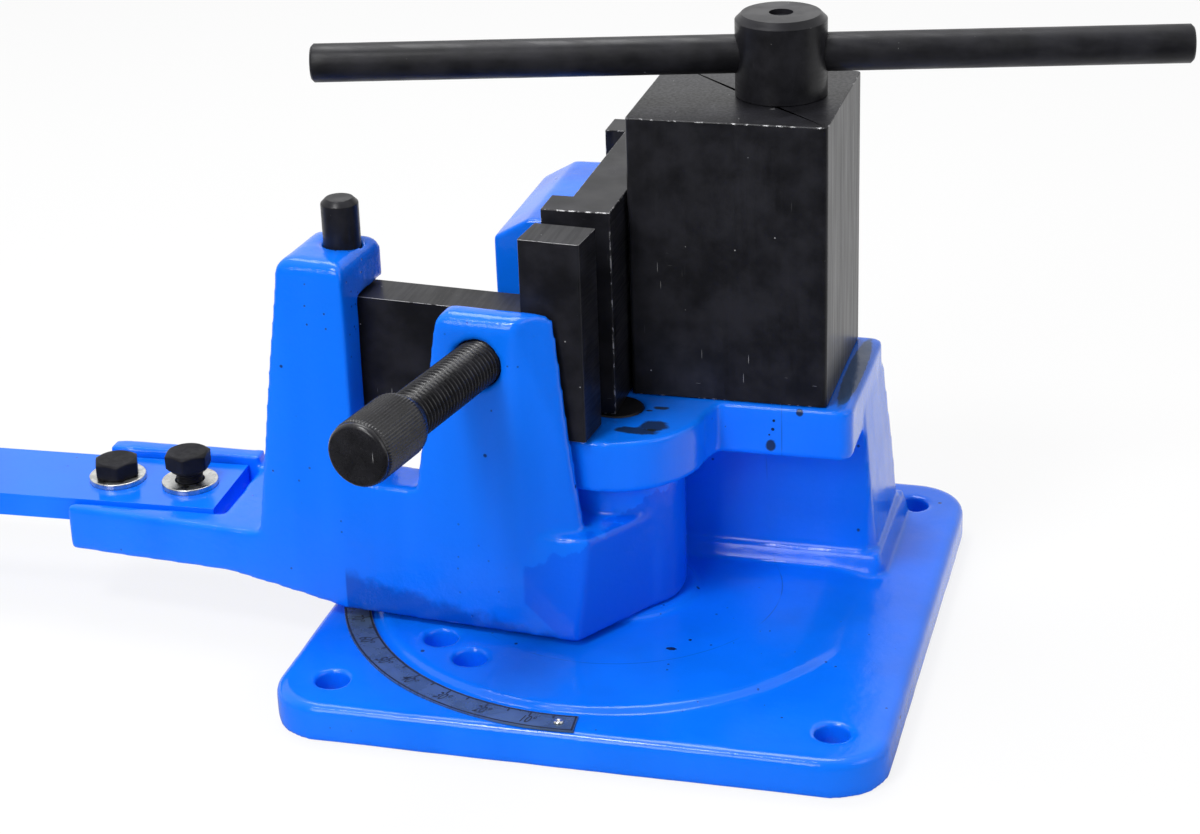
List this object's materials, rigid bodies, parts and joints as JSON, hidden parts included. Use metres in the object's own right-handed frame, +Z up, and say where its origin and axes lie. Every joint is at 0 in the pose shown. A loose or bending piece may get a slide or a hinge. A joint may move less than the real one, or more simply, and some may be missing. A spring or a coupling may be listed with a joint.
{
  "type": "bar bender",
  "caption": "Bench bar bender: cast base with raised platform, clamp block moved by an eccentric T-handle, and a swing arm with lever, bending die and adjusting screw over an angle dial.",
  "frame": {"origin": "centre of the square base plate, on its underside", "axes": "+Z up, +X from the fixed jaw towards the clamp block, front of the base and the dial towards -Y"},
  "size_m": [0.9591, 0.2786, 0.2586],
  "materials": {
    "blue_enamel": "glossy enamel over rough casting",
    "black_oxide_steel": "oiled black oxide, worn bright at the edges",
    "zinc_steel": "bright zinc plate",
    "bronze_bush": "plain turned bronze",
    "scale_plate": "grey blue dial plate with black printing"
  },
  "bodies": {
    "base": {"base_casting": "blue_enamel", "angle_scale": "scale_plate", "scale_rivet_1": "zinc_steel", "scale_rivet_2": "zinc_steel", "pivot_pin": "black_oxide_steel", "cam_bush": "bronze_bush", "fixed_jaw": "black_oxide_steel", "jaw_screw_1": "black_oxide_steel", "jaw_screw_2": "black_oxide_steel"},
    "arm": {"swing_arm": "blue_enamel", "pivot_bush": "bronze_bush", "thrust_washer": "zinc_steel", "lever_bar": "blue_enamel", "lever_bolt_1": "black_oxide_steel", "lever_bolt_2": "black_oxide_steel", "lever_washer_1": "zinc_steel", "lever_washer_2": "zinc_steel", "hinge_pin": "black_oxide_steel"},
    "carrier": {"die_carrier": "black_oxide_steel", "bending_die": "black_oxide_steel", "die_dowel_1": "zinc_steel", "die_dowel_2": "zinc_steel"},
    "foot": {"screw_foot": "zinc_steel"},
    "screw": {"adjusting_screw": "black_oxide_steel"},
    "handle": {"cam_shaft": "black_oxide_steel", "handle_bar": "black_oxide_steel", "handle_grub": "black_oxide_steel"},
    "block": {"clamp_block": "black_oxide_steel"}
  },
  "joints": [
    {"name": "arm_swing", "type": "hinge", "parent": "base", "child": "arm", "pos_m": [-0.006, -0.005, 0.05], "axis": [0, 0, 1], "range_deg": [0, 90]},
    {"name": "handle_turn", "type": "hinge", "parent": "base", "child": "handle", "pos_m": [0.0532, 0.0504, 0.2], "axis": [0, 0, 1], "range_deg": [-60, 0]},
    {"name": "block_slide", "type": "slide", "parent": "base", "child": "block", "axis": [1, 0, 0], "range_m": [0, 0.00347]},
    {"name": "foot_slide", "type": "slide", "parent": "arm", "child": "foot", "axis": [0.1908, 0.9816, 0], "range_m": [0, 0.004]},
    {"name": "screw_turn", "type": "hinge", "parent": "foot", "child": "screw", "pos_m": [-0.04936, -0.05893, 0.1405], "axis": [0.1908, 0.9816, 0], "range_deg": [0, 576.5]},
    {"name": "carrier_swing", "type": "hinge", "parent": "arm", "child": "carrier", "pos_m": [-0.1143, -0.02664, 0.13], "axis": [0, 0, 1], "range_deg": [0, 3.3]}
  ],
  "couplings": [
    {"joint": "block_slide", "follows": "handle_turn", "m_per_rad": -0.003308},
    {"joint": "screw_turn", "follows": "foot_slide", "rad_per_m": 2513.3},
    {"joint": "carrier_swing", "follows": "foot_slide", "rad_per_m": 14.35}
  ]
}
